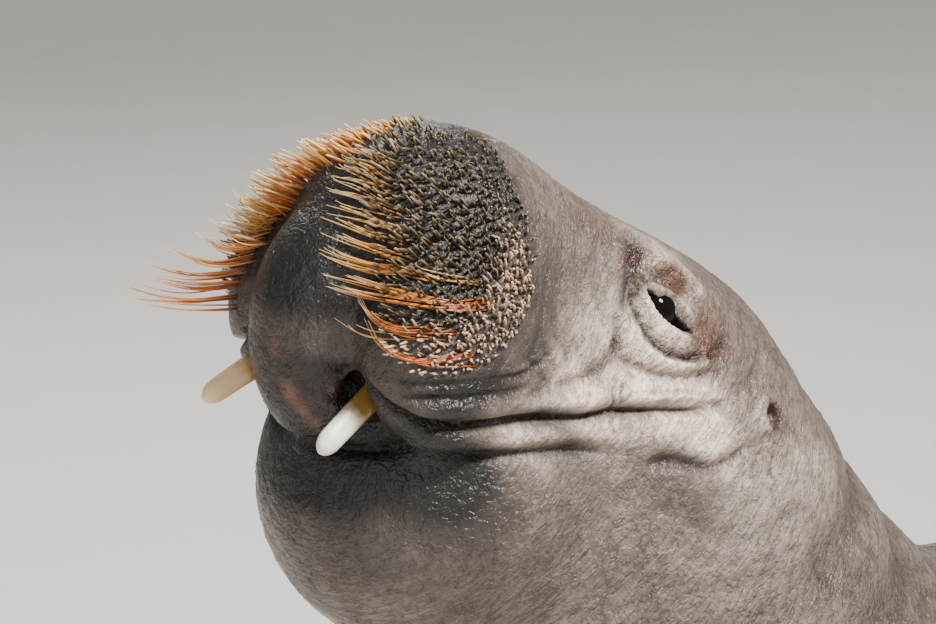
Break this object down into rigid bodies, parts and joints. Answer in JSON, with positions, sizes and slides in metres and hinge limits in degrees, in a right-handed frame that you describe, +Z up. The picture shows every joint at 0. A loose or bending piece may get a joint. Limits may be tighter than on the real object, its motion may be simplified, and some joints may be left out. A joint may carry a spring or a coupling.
{
  "type": "walrus figure",
  "caption": "Still life-size figure of a young walrus lying on its belly, head thrown back, with short tusks and dense bristly whisker pads.",
  "frame": {"origin": "centre of the bounding box at floor level", "axes": "+Z up, the animal faces -Y, its left side is +X"},
  "size_m": [1.0878, 1.7764, 0.8958],
  "materials": {
    "hide": "satin, short-haired, grey-taupe",
    "muzzle_hide": "satin, near black, wet",
    "ivory": "polished, stained at the root",
    "eye": "wet"
  },
  "bodies": {
    "root": {"torso": "hide", "tail": "hide", "neck": "hide", "fore_flipper_left": "hide", "fore_flipper_right": "hide", "hind_flipper_left": "hide", "hind_flipper_right": "hide", "head": "hide", "lower_jaw": "muzzle_hide", "nose": "muzzle_hide", "whisker_pad_left": "muzzle_hide", "whisker_pad_right": "muzzle_hide", "tusk_left": "ivory", "tusk_right": "ivory", "eye_left": "eye", "eye_right": "eye"}
  },
  "joints": []
}
